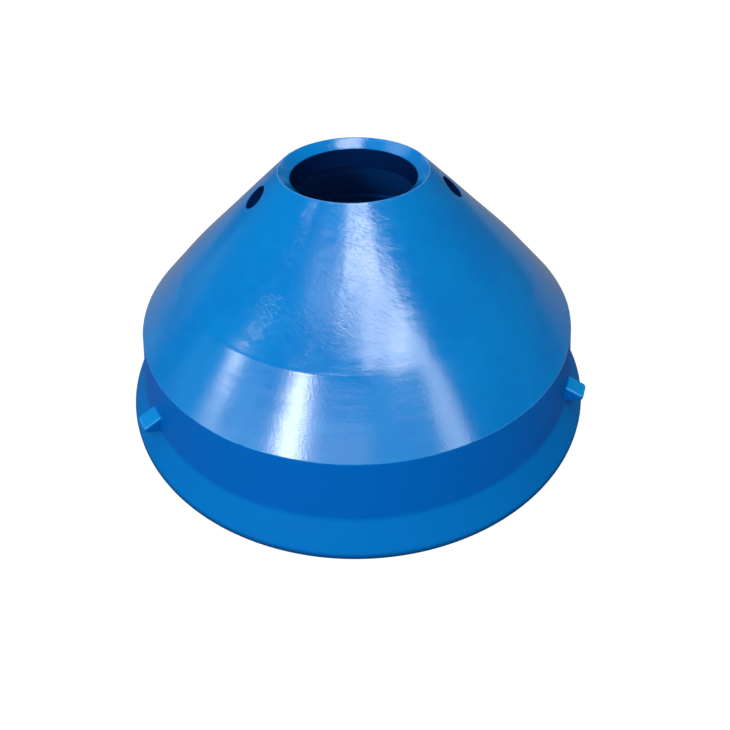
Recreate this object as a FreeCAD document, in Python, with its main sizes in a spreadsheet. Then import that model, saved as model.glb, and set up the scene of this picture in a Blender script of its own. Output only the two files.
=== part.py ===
"""Cone crusher mantle: one manganese-steel casting, turned about +Z, standing on its foot at z = 0.

The casting is a hollow cone. From the top down it has a collar with a pilot bore, a plain upper cone, a
steeper crushing band that ends in a sharp edge, a steep skirt and a flared foot. Inside it follows the
outside at wall thickness, with a cast relief between its two seat bands. Three lugs stand on the skirt and
two lifting holes go square through the upper cone. The back lug is on +Y. Lengths are in millimetres.
"""
import FreeCAD, Part
import math
import os

import Sketcher

NODE = "mantle"
TOLERANCE = 0.01

SIZES = (
    ("overall_height", 628.5, "foot face to top of the rim"),
    ("bore_diameter", 313, "pilot bore in the collar"),
    ("bore_length", 50, "straight length of the pilot bore"),
    ("rim_width", 29.5, "bore wall to outer edge of the rim, measured level"),
    ("rim_drop", 23, "how far the rim face dips towards the bore"),
    ("rim_round", 2.5, "rounding of both edges of the rim face"),
    ("band_top_diameter", 920, "where the upper cone meets the crushing band"),
    ("band_top_height", 368.5, "height of that joint above the foot face"),
    ("edge_diameter", 1163, "the crushing edge, where the band meets the skirt"),
    ("edge_height", 237, "height of the crushing edge"),
    ("edge_round", 1.5, "rounding of the crushing edge"),
    ("skirt_spread", 25, "how much further out the skirt is at its foot than at the crushing edge"),
    ("foot_height", 81, "where the foot leaves the skirt"),
    ("foot_reach", 43.5, "how far the foot flares out past the skirt"),
    ("foot_lip", 8, "upright lip at the foot's outer edge"),
    ("foot_root_round", 30, "hollow rounding between skirt and foot"),
    ("foot_face_width", 75, "level width of the flat face under the foot"),
    ("cone_wall", 62, "wall of the upper cone, measured square to it"),
    ("band_wall", 62, "wall behind the crushing band, measured square to it"),
    ("skirt_wall", 58, "wall of the skirt, measured square to it"),
    ("entry_height", 30, "height of the sloping entry inside the foot"),
    ("inside_round", 12, "hollow rounding inside, between the skirt and the lower seat"),
    ("upper_seat_width", 92, "upper seat band, measured along the cone"),
    ("lower_seat_lead", 26, "seat band above the bend of the inside, measured along the cone"),
    ("relief_depth", 5, "depth of the cast relief between the seat bands"),
    ("lug_count", 3, "lugs, evenly spaced round the skirt"),
    ("lug_width", 48, "width of a lug across its top"),
    ("lug_reach", 62, "how far a lug's tip stands out past the crushing edge"),
    ("lug_root_top", 146, "height of a lug's top right below the crushing edge, inside the wall"),
    ("lug_root_thickness", 60, "upright thickness of a lug there"),
    ("lug_tip_top", 127, "height of a lug's top at its tip"),
    ("lug_tip_thickness", 14, "upright thickness of a lug at its tip"),
    ("lug_round", 3, "rounding of a lug's edges"),
    ("lifting_hole_diameter", 67, "lifting holes"),
    ("lifting_hole_radius", 246, "middle of a hole's mouth to the mantle's axis"),
    ("lifting_hole_lead", 5, "degrees that each hole lies forward of the line across the mantle"),
)

EDGE_RADIUS = "Sizes.edge_diameter / 2"
FOOT_ROOT_RADIUS = f"{EDGE_RADIUS} + Sizes.skirt_spread"
FOOT_RADIUS = f"{FOOT_ROOT_RADIUS} + Sizes.foot_reach"
BORE_RADIUS = "Sizes.bore_diameter / 2"
RIM_RADIUS = f"{BORE_RADIUS} + Sizes.rim_width"
BAND_TOP_RADIUS = "Sizes.band_top_diameter / 2"


def make_sheet(document):
    """Put every driving size into a spreadsheet, one aliased cell each."""
    sheet = document.addObject("Spreadsheet::Sheet", "Sizes")
    for row, (alias, value, meaning) in enumerate(SIZES, start=1):
        sheet.set(f"A{row}", meaning)
        sheet.set(f"B{row}", str(value))
        sheet.setAlias(f"B{row}", alias)
    document.recompute()
    return sheet


def origin_feature(body, role):
    """One of the body's own origin planes or axes, such as XZ_Plane."""
    return next(item for item in body.Origin.OriginFeatures if item.Role == role)


def new_sketch(body, name, plane):
    """An empty sketch flat on one of the body's origin planes."""
    sketch = body.newObject("Sketcher::SketchObject", name)
    sketch.AttachmentSupport = (origin_feature(body, plane), [""])
    sketch.MapMode = "FlatFace"
    return sketch


class Outline:
    """A closed outline through named corners, where each line is known by the corner it starts from.

    Corners are sharp, apart from those that rounds names with their radius's alias in the sheet. A rounded
    corner keeps a construction point where its lines would meet, and that point takes its dimensions.
    """

    def __init__(self, sketch, corners, rounds=None):
        self.sketch = sketch
        self.corners = {name: FreeCAD.Vector(x, y, 0) for name, (x, y) in corners.items()}
        self.rounds = rounds or {}
        names = list(corners)
        self.before = dict(zip(names, names[-1:] + names[:-1]))
        self.after = dict(zip(names, names[1:] + names[:1]))
        self.lines = {name: self.draw_line(name) for name in names}
        self.marks = {name: (self.lines[name], 1) for name in names}
        for name in names:
            self.join_corner(name)

    def radius(self, name):
        """The rounding of a corner, 0 where it is sharp."""
        return float(self.sketch.Document.Sizes.get(self.rounds[name])) if name in self.rounds else 0

    def line_end(self, name, towards):
        """Where a line leaves a corner towards its neighbour, clear of the corner's rounding."""
        corner = self.corners[name]
        arms = [self.corners[other] - corner for other in (self.before[name], self.after[name])]
        trim = self.radius(name) / math.tan(arms[0].getAngle(arms[1]) / 2)
        return corner + (self.corners[towards] - corner).normalize() * trim

    def draw_line(self, name):
        """Draw the line that starts from a corner."""
        after = self.after[name]
        line = Part.LineSegment(self.line_end(name, after), self.line_end(after, name))
        return self.sketch.addGeometry(line, False)

    def join_corner(self, name):
        """Join the two lines at a corner, sharp or by a tangent arc."""
        arriving, leaving = self.lines[self.before[name]], self.lines[name]
        if name not in self.rounds:
            self.relate("Coincident", arriving, 2, leaving, 1)
            return
        corner = self.corners[name]
        start, end = self.line_end(name, self.before[name]), self.line_end(name, self.after[name])
        inward = ((start + end) / 2 - corner).normalize()
        centre = corner + inward * math.hypot(self.radius(name), start.distanceToPoint(corner))
        middle = centre - inward * self.radius(name)
        arc = self.sketch.addGeometry(Part.Arc(start, middle, end), False)
        turns_left = (corner - start).cross(end - corner).z > 0
        arc_start, arc_end = (1, 2) if turns_left else (2, 1)
        self.relate("Tangent", arriving, 2, arc, arc_start)
        self.relate("Tangent", arc, arc_end, leaving, 1)
        self.bind(Sketcher.Constraint("Radius", arc, self.radius(name)), f"Sizes.{self.rounds[name]}")
        point = self.sketch.addGeometry(Part.Point(corner), True)
        self.relate("PointOnObject", point, 1, arriving)
        self.relate("PointOnObject", point, 1, leaving)
        self.marks[name] = (point, 1)

    def relate(self, kind, *parts):
        """Add a constraint without a size, such as Horizontal, Parallel or Coincident."""
        self.sketch.addConstraint(Sketcher.Constraint(kind, *parts))

    def bind(self, constraint, expression):
        """Add a constraint whose size follows an expression."""
        index = self.sketch.addConstraint(constraint)
        self.sketch.setExpression(f"Constraints[{index}]", expression)

    def across(self, name, expression):
        """Fix how far out a corner lies from the mantle's axis."""
        value = self.corners[name].x
        self.bind(Sketcher.Constraint("DistanceX", -1, 1, *self.marks[name], value), expression)

    def up(self, name, expression):
        """Fix a corner's height."""
        value = self.corners[name].y
        self.bind(Sketcher.Constraint("DistanceY", -1, 1, *self.marks[name], value), expression)

    def level(self, *names):
        """Keep the lines from these corners level."""
        for name in names:
            self.relate("Horizontal", self.lines[name])

    def upright(self, *names):
        """Keep the lines from these corners upright."""
        for name in names:
            self.relate("Vertical", self.lines[name])

    def parallel(self, name, other):
        """Keep one line parallel to another."""
        self.relate("Parallel", self.lines[name], self.lines[other])

    def square(self, name, other):
        """Keep one line square to another."""
        self.relate("Perpendicular", self.lines[name], self.lines[other])

    def length(self, name, value, expression):
        """Fix a line's own length."""
        self.bind(Sketcher.Constraint("Distance", self.lines[name], value), expression)

    def gap(self, name, line, value, expression):
        """Fix the distance from a line's start to another line, square to it."""
        self.bind(Sketcher.Constraint("Distance", self.lines[name], 1, line, value), expression)


def slope_of(start, end):
    """Unit vector along a line of the section, as (across, up)."""
    run = math.dist(start, end)
    return (end[0] - start[0]) / run, (end[1] - start[1]) / run


def moved(point, direction, distance):
    """A point of the section, moved along a direction."""
    return point[0] + direction[0] * distance, point[1] + direction[1] * distance


def turned_left(direction):
    """A direction of the section, turned a quarter to the left."""
    return -direction[1], direction[0]


def crossing(point, direction, other_point, other_direction):
    """Where two lines of the section cross, each given by a point and a direction."""
    gap = other_point[0] - point[0], other_point[1] - point[1]
    turn = direction[0] * other_direction[1] - direction[1] * other_direction[0]
    along = (gap[0] * other_direction[1] - gap[1] * other_direction[0]) / turn
    return moved(point, direction, along)


def section_corners(size):
    """Corners of the casting's half section, as (radius, height), anticlockwise from under the foot."""
    bore = size["bore_diameter"] / 2
    edge = size["edge_diameter"] / 2, size["edge_height"]
    foot_root = edge[0] + size["skirt_spread"], size["foot_height"]
    foot = foot_root[0] + size["foot_reach"]
    mouth_height = size["overall_height"] - size["rim_drop"]
    shoulder_height = mouth_height - size["bore_length"]
    band_top = size["band_top_diameter"] / 2, size["band_top_height"]
    rim = bore + size["rim_width"], size["overall_height"]
    up_cone = slope_of(band_top, rim)
    up_band = slope_of(edge, band_top)
    up_skirt = slope_of(foot_root, edge)
    into_cone = turned_left(up_cone)
    cone_inside = moved(band_top, into_cone, size["cone_wall"])
    band_inside = moved(edge, turned_left(up_band), size["band_wall"])
    skirt_inside = moved(edge, turned_left(up_skirt), size["skirt_wall"])
    bend = crossing(cone_inside, up_cone, band_inside, up_band)
    shoulder = crossing(cone_inside, up_cone, (bore, shoulder_height), (1, 0))
    seat_end = moved(shoulder, up_cone, -size["upper_seat_width"])
    lower_seat = moved(bend, up_cone, size["lower_seat_lead"])
    return {
        "foot_inside": (foot - size["foot_face_width"], 0),
        "foot_outside": (foot, 0),
        "foot_lip": (foot, size["foot_lip"]),
        "foot_root": foot_root,
        "edge": edge,
        "band_top": band_top,
        "rim": rim,
        "bore_mouth": (bore, mouth_height),
        "bore_end": (bore, shoulder_height),
        "shoulder": shoulder,
        "seat_end": seat_end,
        "relief_top": moved(seat_end, into_cone, -size["relief_depth"]),
        "relief_foot": moved(lower_seat, into_cone, -size["relief_depth"]),
        "lower_seat": lower_seat,
        "bend": bend,
        "inner_skirt_top": crossing(band_inside, up_band, skirt_inside, up_skirt),
        "entry_top": crossing(skirt_inside, up_skirt, (0, size["entry_height"]), (1, 0)),
    }


def make_casting(body, size):
    """Revolve the casting's half section about the mantle's axis."""
    sketch = new_sketch(body, "casting_section", "XZ_Plane")
    section = Outline(sketch, section_corners(size), {
        "rim": "rim_round",
        "bore_mouth": "rim_round",
        "edge": "edge_round",
        "foot_root": "foot_root_round",
        "inner_skirt_top": "inside_round",
    })
    section.level("foot_inside", "bore_end")
    section.upright("foot_outside", "bore_mouth")
    section.across("foot_outside", FOOT_RADIUS)
    section.across("foot_inside", f"{FOOT_RADIUS} - Sizes.foot_face_width")
    section.across("foot_root", FOOT_ROOT_RADIUS)
    section.across("edge", EDGE_RADIUS)
    section.across("band_top", BAND_TOP_RADIUS)
    section.across("rim", RIM_RADIUS)
    section.across("bore_mouth", BORE_RADIUS)
    section.up("foot_lip", "Sizes.foot_lip")
    section.up("foot_root", "Sizes.foot_height")
    section.up("edge", "Sizes.edge_height")
    section.up("band_top", "Sizes.band_top_height")
    section.up("rim", "Sizes.overall_height")
    section.up("bore_mouth", "Sizes.overall_height - Sizes.rim_drop")
    section.up("bore_end", "Sizes.overall_height - Sizes.rim_drop - Sizes.bore_length")
    section.up("entry_top", "Sizes.entry_height")
    section.relate("PointOnObject", *section.marks["foot_inside"], -1)
    for name in ("shoulder", "relief_top", "lower_seat"):
        section.parallel(name, "band_top")
    section.parallel("bend", "edge")
    section.parallel("inner_skirt_top", "foot_root")
    for name in ("seat_end", "relief_foot"):
        section.square(name, "band_top")
    cone, band, skirt = (section.lines[name] for name in ("band_top", "edge", "foot_root"))
    section.gap("shoulder", cone, size["cone_wall"], "Sizes.cone_wall")
    section.gap("bend", cone, size["cone_wall"], "Sizes.cone_wall")
    section.gap("bend", band, size["band_wall"], "Sizes.band_wall")
    section.gap("inner_skirt_top", skirt, size["skirt_wall"], "Sizes.skirt_wall")
    section.length("shoulder", size["upper_seat_width"], "Sizes.upper_seat_width")
    section.length("seat_end", size["relief_depth"], "Sizes.relief_depth")
    section.length("lower_seat", size["lower_seat_lead"], "Sizes.lower_seat_lead")
    casting = body.newObject("PartDesign::Revolution", "casting")
    casting.Profile = sketch
    casting.ReferenceAxis = (sketch, ["V_Axis"])
    casting.Angle = 360
    body.Document.recompute()


def round_edges(body, name, radius, picked):
    """Round the edges of the body's present shape that a test picks, with a radius from the sheet."""
    base = body.Tip
    edges = [f"Edge{number}" for number, edge in enumerate(base.Shape.Edges, start=1) if picked(edge)]
    fillet = body.newObject("PartDesign::Fillet", name)
    fillet.Base = (base, edges)
    fillet.setExpression("Radius", f"Sizes.{radius}")
    body.Document.recompute()


def make_lugs(body, size):
    """Pad the back lug from its side outline, space it round the skirt and round its edges."""
    root = size["edge_diameter"] / 2
    tip = root + size["lug_reach"]
    corners = {
        "root_bottom": (root, size["lug_root_top"] - size["lug_root_thickness"]),
        "tip_bottom": (tip, size["lug_tip_top"] - size["lug_tip_thickness"]),
        "tip_top": (tip, size["lug_tip_top"]),
        "root_top": (root, size["lug_root_top"]),
    }
    sketch = new_sketch(body, "lug_outline", "YZ_Plane")
    side = Outline(sketch, corners)
    side.upright("tip_bottom", "root_top")
    side.across("root_bottom", EDGE_RADIUS)
    side.across("tip_bottom", f"{EDGE_RADIUS} + Sizes.lug_reach")
    side.up("root_bottom", "Sizes.lug_root_top - Sizes.lug_root_thickness")
    side.up("tip_bottom", "Sizes.lug_tip_top - Sizes.lug_tip_thickness")
    side.up("tip_top", "Sizes.lug_tip_top")
    side.up("root_top", "Sizes.lug_root_top")
    lug = body.newObject("PartDesign::Pad", "back_lug")
    lug.Profile = sketch
    lug.SideType = "Symmetric"
    lug.setExpression("Length", "Sizes.lug_width")
    body.Document.recompute()
    lugs = body.newObject("PartDesign::PolarPattern", "lugs")
    lugs.Originals = [lug]
    lugs.Axis = (origin_feature(body, "Z_Axis"), [""])
    lugs.Angle = 360
    lugs.setExpression("Occurrences", "Sizes.lug_count")
    body.Tip = lugs
    body.Document.recompute()

    def on_lug(edge):
        """Edges with an end at a lug's tip: its four long edges and the four round its end face."""
        reaches = [math.hypot(corner.X, corner.Y) for corner in edge.Vertexes]
        heights = [corner.Z for corner in edge.Vertexes]
        return max(reaches) > tip - TOLERANCE and min(heights) > size["foot_height"]

    round_edges(body, "lug_rounding", "lug_round", on_lug)


def make_lifting_holes(body, size):
    """Groove one hole square through the upper cone and mirror it across the mantle."""
    bore = size["bore_diameter"] / 2
    band_top = size["band_top_diameter"] / 2, size["band_top_height"]
    rim = bore + size["rim_width"], size["overall_height"]
    up_cone = slope_of(band_top, rim)
    outward = up_cone[1], -up_cone[0]
    reach = size["cone_wall"] * 2
    hole = size["lifting_hole_diameter"] / 2
    mouth = crossing(band_top, up_cone, (size["lifting_hole_radius"], 0), (0, 1))
    corners = {
        "axis_inner": moved(mouth, outward, -reach),
        "axis_outer": moved(mouth, outward, reach),
        "wall_outer": moved(moved(mouth, outward, reach), up_cone, -hole),
        "wall_inner": moved(moved(mouth, outward, -reach), up_cone, -hole),
    }
    sketch = new_sketch(body, "lifting_hole_outline", "XZ_Plane")
    upright = FreeCAD.Vector(0, 1, 0)
    turn = FreeCAD.Rotation(upright, -size["lifting_hole_lead"])
    sketch.AttachmentOffset = FreeCAD.Placement(FreeCAD.Vector(), turn)
    sketch.setExpression("AttachmentOffset.Rotation.Angle", "-Sizes.lifting_hole_lead")
    drill = Outline(sketch, corners)
    cone = sketch.addGeometry(Part.LineSegment(FreeCAD.Vector(*band_top, 0), FreeCAD.Vector(*rim, 0)), True)
    centre = sketch.addGeometry(Part.Point(FreeCAD.Vector(*mouth, 0)), True)
    drill.bind(Sketcher.Constraint("DistanceX", -1, 1, cone, 1, band_top[0]), BAND_TOP_RADIUS)
    drill.bind(Sketcher.Constraint("DistanceY", -1, 1, cone, 1, band_top[1]), "Sizes.band_top_height")
    drill.bind(Sketcher.Constraint("DistanceX", -1, 1, cone, 2, rim[0]), RIM_RADIUS)
    drill.bind(Sketcher.Constraint("DistanceY", -1, 1, cone, 2, rim[1]), "Sizes.overall_height")
    drill.bind(Sketcher.Constraint("DistanceX", -1, 1, centre, 1, mouth[0]), "Sizes.lifting_hole_radius")
    drill.relate("PointOnObject", centre, 1, cone)
    drill.relate("PointOnObject", centre, 1, drill.lines["axis_inner"])
    drill.relate("Perpendicular", drill.lines["axis_inner"], cone)
    drill.relate("Parallel", drill.lines["axis_outer"], cone)
    drill.relate("Parallel", drill.lines["wall_inner"], cone)
    drill.gap("axis_inner", cone, reach, "Sizes.cone_wall * 2")
    drill.gap("wall_outer", cone, reach, "Sizes.cone_wall * 2")
    drill.length("axis_outer", hole, "Sizes.lifting_hole_diameter / 2")
    drill.length("wall_inner", hole, "Sizes.lifting_hole_diameter / 2")
    groove = body.newObject("PartDesign::Groove", "right_lifting_hole")
    groove.Profile = sketch
    groove.ReferenceAxis = (sketch, [f"Edge{drill.lines['axis_inner'] + 1}"])
    groove.Angle = 360
    body.Document.recompute()
    holes = body.newObject("PartDesign::Mirrored", "lifting_holes")
    holes.Originals = [groove]
    holes.MirrorPlane = (origin_feature(body, "YZ_Plane"), [""])
    body.Tip = holes
    body.Document.recompute()


def check(document, body):
    """Stop if a feature failed, or if the part isn't one valid solid."""
    failed = [item.Name for item in document.Objects if {"Invalid", "Error"} & set(item.State)]
    if failed:
        raise RuntimeError(f"features failed: {failed}")
    shape = body.Shape
    if shape.isNull() or not shape.isValid() or len(shape.Solids) != 1:
        raise RuntimeError(f"{body.Label} isn't one valid solid")


def main():
    """Build the mantle and write it as a STEP file."""
    document = FreeCAD.newDocument("cone_crusher_mantle")
    sheet = make_sheet(document)
    size = {alias: float(sheet.get(alias)) for alias, _, _ in SIZES}
    body = document.addObject("PartDesign::Body", NODE)
    body.Label = NODE
    body.Placement = FreeCAD.Placement()
    make_casting(body, size)
    make_lugs(body, size)
    make_lifting_holes(body, size)
    document.recompute()
    check(document, body)
    os.makedirs("parts", exist_ok=True)
    body.Shape.exportStep(f"parts/{NODE}.step")
    print(f"{NODE}: {body.Shape.Volume / 1e6:.2f} litres, {len(body.Shape.Faces)} faces")


main()
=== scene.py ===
"""Looks of a cone crusher mantle: one cast-steel cone under glossy blue enamel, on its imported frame.

The casting is one closed surface. Its section is carried round the mantle's axis as a grid, and where a
lifting hole or a lug breaks that grid, a ring patch takes its place and shares its border. Lengths are in
metres, +Z is up, and the mantle stands on its foot at z = 0 with its back lug on +Y.
"""

import logging
import math
from dataclasses import dataclass, field
from enum import Enum

import bmesh
import bpy
import numpy as np
from mathutils import Matrix, Vector

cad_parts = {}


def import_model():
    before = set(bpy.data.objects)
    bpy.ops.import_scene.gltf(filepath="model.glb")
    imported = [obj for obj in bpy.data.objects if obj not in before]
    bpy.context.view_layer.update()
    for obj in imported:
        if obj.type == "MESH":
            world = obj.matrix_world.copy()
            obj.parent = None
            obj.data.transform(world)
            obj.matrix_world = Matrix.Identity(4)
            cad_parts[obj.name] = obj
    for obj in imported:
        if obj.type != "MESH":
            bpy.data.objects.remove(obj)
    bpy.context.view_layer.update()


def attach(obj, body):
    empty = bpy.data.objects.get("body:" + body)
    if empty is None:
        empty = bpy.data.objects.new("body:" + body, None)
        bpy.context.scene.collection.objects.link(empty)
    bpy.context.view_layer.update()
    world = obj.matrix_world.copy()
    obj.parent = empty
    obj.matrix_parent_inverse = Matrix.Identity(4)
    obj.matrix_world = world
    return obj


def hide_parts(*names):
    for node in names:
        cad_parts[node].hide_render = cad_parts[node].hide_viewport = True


LOG = logging.getLogger("mantle")
NODE = "mantle"
FRAME_WIDTH = 730
RAYS = ("Camera", "Glossy", "Transmission")
CRISP_GAPS = (0.0016, 0.0036, 0.0062)
CRISP_CLEARANCE = 1.3
ARC_STEP = 16
WHITE = (1.0, 1.0, 1.0, 1.0)

Array = np.ndarray
Pair = tuple[float, float]
Colour = tuple[float, float, float, float]
Tree = bpy.types.NodeTree
Socket = bpy.types.NodeSocket


def turn_between(azimuth: Array | float, middle: Array | float) -> Array | float:
    """Gives the angle from a middle to an azimuth, within half a turn either way."""
    return (azimuth - middle + math.pi) % (2 * math.pi) - math.pi


def azimuths_of(points: Array) -> Array:
    """Gives the azimuth of each point, one a row."""
    return np.arctan2(points[:, 1], points[:, 0])


def smooth_share(value: Array, low: float, high: float) -> Array:
    """Goes smoothly from 0 at the low value to 1 at the high one."""
    share = np.clip((value - low) / (high - low), 0.0, 1.0)
    return share * share * (3.0 - 2.0 * share)


def add_object(name: str, data: bpy.types.ID) -> bpy.types.Object:
    """Adds an object that shows some data to the scene."""
    added = bpy.data.objects.new(name, data)
    bpy.context.scene.collection.objects.link(added)
    return added


class Skin(Enum):
    """What a part of the surface is: as cast, or machined or closed in, where it stays true to size."""

    CAST = 1.0
    TRUE = 0.0


@dataclass(frozen=True)
class Corner:
    """A corner of the section, and the leg that leaves it."""

    radius: float
    height: float
    rounding: float = 0.0
    spacing: float = 0.012
    skin: Skin = Skin.TRUE

    def place(self) -> Array:
        """Gives the corner as (radius, height)."""
        return np.array([self.radius, self.height])


@dataclass(frozen=True)
class Wall:
    """A straight leg of the section, carried round the axis: a cone or a cylinder."""

    low: Pair
    high: Pair

    def slope(self) -> Array:
        """Gives the unit direction up the wall, as (across, up)."""
        run = np.subtract(self.high, self.low)
        return run / np.linalg.norm(run)

    def inward(self) -> Array:
        """Gives the unit direction square into the wall, as (across, up)."""
        across, up = self.slope()
        return np.array([-up, across])

    def moved_in(self, depth: float) -> "Wall":
        """Gives the parallel wall at a depth."""
        shift = self.inward() * depth
        return Wall(tuple(self.low + shift), tuple(self.high + shift))

    def radius_at(self, height: Array | float) -> Array | float:
        """Gives the wall's radius at a height: in a straight line from its low end to its high end."""
        share = (np.asarray(height) - self.low[1]) / (self.high[1] - self.low[1])
        return self.low[0] + (self.high[0] - self.low[0]) * share

    def height_at(self, radius: float) -> float:
        """Gives the wall's height at a radius, along the same straight line."""
        share = (radius - self.low[0]) / (self.high[0] - self.low[0])
        return self.low[1] + (self.high[1] - self.low[1]) * share

    def point(self, azimuth: float, radius: float) -> Array:
        """Gives the wall's point at an azimuth and a radius."""
        return np.array([radius * math.cos(azimuth), radius * math.sin(azimuth), self.height_at(radius)])

    def place_at(self, height: float) -> Array:
        """Gives the wall's (radius, height) at a height."""
        return np.array([float(self.radius_at(height)), height])

    def crossing(self, other: "Wall") -> Array:
        """Finds where this wall's line meets another's.

        Args:
            other: The other wall.

        Returns:
            The meeting point, as (radius, height).
        """
        gap = np.subtract(other.low, self.low)
        mine, its = self.slope(), other.slope()
        along = (gap[0] * its[1] - gap[1] * its[0]) / (mine[0] * its[1] - mine[1] * its[0])
        return self.low + mine * along

    def at(self, azimuth: Array, height: Array) -> Array:
        """Gives the wall's points: the radius at each height, turned to each azimuth."""
        radius = self.radius_at(height)
        return np.stack([radius * np.cos(azimuth), radius * np.sin(azimuth), height], axis=-1)


@dataclass(frozen=True)
class Sizes:
    """The mantle's driving sizes, in metres; a pair is a radius and a height."""

    height: float = 0.6285
    bore: float = 0.1565
    bore_length: float = 0.050
    rim: float = 0.186
    rim_drop: float = 0.023
    rim_round: float = 0.0025
    band_top: Pair = (0.460, 0.3685)
    edge: Pair = (0.5815, 0.237)
    edge_round: float = 0.0016
    foot_root: Pair = (0.6065, 0.081)
    foot_root_round: float = 0.030
    foot: float = 0.6498
    foot_lip: float = 0.008
    foot_face: float = 0.075
    cone_wall: float = 0.062
    band_wall: float = 0.062
    skirt_wall: float = 0.058
    entry_height: float = 0.030
    inside_round: float = 0.012
    upper_seat: float = 0.092
    lower_seat: float = 0.026
    relief: float = 0.005

    def cone(self) -> Wall:
        """Gives the outside of the upper cone."""
        return Wall(self.band_top, (self.rim, self.height))

    def band(self) -> Wall:
        """Gives the outside of the crushing band."""
        return Wall(self.edge, self.band_top)

    def skirt(self) -> Wall:
        """Gives the outside of the skirt."""
        return Wall(self.foot_root, self.edge)

    def corners(self) -> tuple[Corner, ...]:
        """Works out the section's corners, from under the foot, up the outside and down the inside.

        Each inside wall runs parallel to its outside, a wall's thickness in, and the cast relief
        between the two seat bands lies a little deeper in the wall.

        Returns:
            The corners in order.
        """
        cone, band = self.cone().moved_in(self.cone_wall), self.band().moved_in(self.band_wall)
        skirt = self.skirt().moved_in(self.skirt_wall)
        mouth = self.height - self.rim_drop
        shoulder = cone.place_at(mouth - self.bore_length)
        seat_end = shoulder - cone.slope() * self.upper_seat
        bend = cone.crossing(band)
        lower_seat = bend + cone.slope() * self.lower_seat
        deeper = cone.inward() * self.relief
        return (
            Corner(self.foot - self.foot_face, 0.0, 0.002, 0.025),
            Corner(self.foot, 0.0, 0.0015, 0.004),
            Corner(self.foot, self.foot_lip, 0.003, 0.008, Skin.CAST),
            Corner(*self.foot_root, self.foot_root_round, 0.005, Skin.CAST),
            Corner(*self.edge, self.edge_round, 0.009, Skin.CAST),
            Corner(*self.band_top, 0.0, 0.0085, Skin.CAST),
            Corner(self.rim, self.height, self.rim_round, 0.008),
            Corner(self.bore, mouth, self.rim_round, 0.010),
            Corner(self.bore, mouth - self.bore_length, 0.0, 0.010),
            Corner(*shoulder, 0.0, 0.0085),
            Corner(*seat_end),
            Corner(*(seat_end - deeper), 0.0, 0.022, Skin.CAST),
            Corner(*(lower_seat - deeper)),
            Corner(*lower_seat, 0.0, 0.013),
            Corner(*bend, 0.0, 0.022),
            Corner(*band.crossing(skirt), self.inside_round, 0.022, Skin.CAST),
            Corner(*skirt.place_at(self.entry_height), 0.0, 0.020, Skin.CAST),
        )


@dataclass(frozen=True)
class Section:
    """The casting's half section, carried from corner to corner in grid rows."""

    corners: tuple[Corner, ...]

    def rows(self) -> tuple[Array, Array]:
        """Works out the grid's rows: straight legs divided evenly, and corners turned by arcs.

        Returns:
            The rows as (radius, height), and each row's share of cast skin, from 0 to 1.
        """
        places = np.array([corner.place() for corner in self.corners])
        ahead = np.roll(places, -1, axis=0) - places
        ahead /= np.linalg.norm(ahead, axis=1, keepdims=True)
        behind = np.roll(ahead, 1, axis=0)
        turns = np.arccos(np.clip((ahead * behind).sum(axis=1), -1.0, 1.0))
        trims = np.array([corner.rounding for corner in self.corners]) * np.tan(turns / 2)
        rows, skins = [], []
        for index, corner in enumerate(self.corners):
            after = (index + 1) % len(self.corners)
            legs = behind[index], ahead[index]
            bend = self.turn(places[index], *legs, corner.rounding, float(turns[index]))
            start = places[index] + ahead[index] * trims[index]
            end = places[after] - ahead[index] * trims[after]
            leg = self.leg(start, end, corner.spacing)
            rows += [bend, leg]
            arriving, leaving = self.corners[index - 1].skin.value, corner.skin.value
            skins += [np.full(len(bend), min(arriving, leaving)), np.full(len(leg), leaving)]
        return np.concatenate(rows), np.concatenate(skins)

    @staticmethod
    def turn(
        place: Array, behind: Array, ahead: Array, rounding: float, turn: float
    ) -> Array:
        """Turns a corner by an arc: its centre plus its radius, swung evenly from one leg to the other.

        Args:
            place: The sharp corner.
            behind: Unit direction of the leg that arrives.
            ahead: Unit direction of the leg that leaves.
            rounding: The arc's radius, or 0 for a sharp corner.
            turn: Angle between the two legs.

        Returns:
            The arc's rows, its two ends included, or the corner alone.
        """
        if rounding == 0.0:
            return place[None]
        side = math.copysign(1.0, behind[0] * ahead[1] - behind[1] * ahead[0])
        square = np.array([-behind[1], behind[0]]) * side
        centre = place - behind * rounding * math.tan(turn / 2) + square * rounding
        swing = np.linspace(0.0, turn, max(3, 1 + math.ceil(math.degrees(turn) / ARC_STEP)))[:, None]
        return centre - square * rounding * np.cos(swing) + behind * rounding * np.sin(swing)

    @staticmethod
    def leg(start: Array, end: Array, spacing: float) -> Array:
        """Divides a straight leg evenly, with more rows close to each end, its own ends left out.

        Args:
            start: Where the leg starts.
            end: Where the leg ends.
            spacing: The wanted distance between rows.

        Returns:
            The rows between the ends.
        """
        reach = float(np.linalg.norm(end - start))
        count = max(1, round(reach / spacing))
        along = np.arange(1, count) / count
        if count > 4:
            near = np.array(CRISP_GAPS) / reach
            clear = CRISP_CLEARANCE * near[-1]
            along = np.concatenate([near, along[(along > clear) & (along < 1.0 - clear)], 1.0 - near[::-1]])
        return start + (end - start) * along[:, None]


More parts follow.
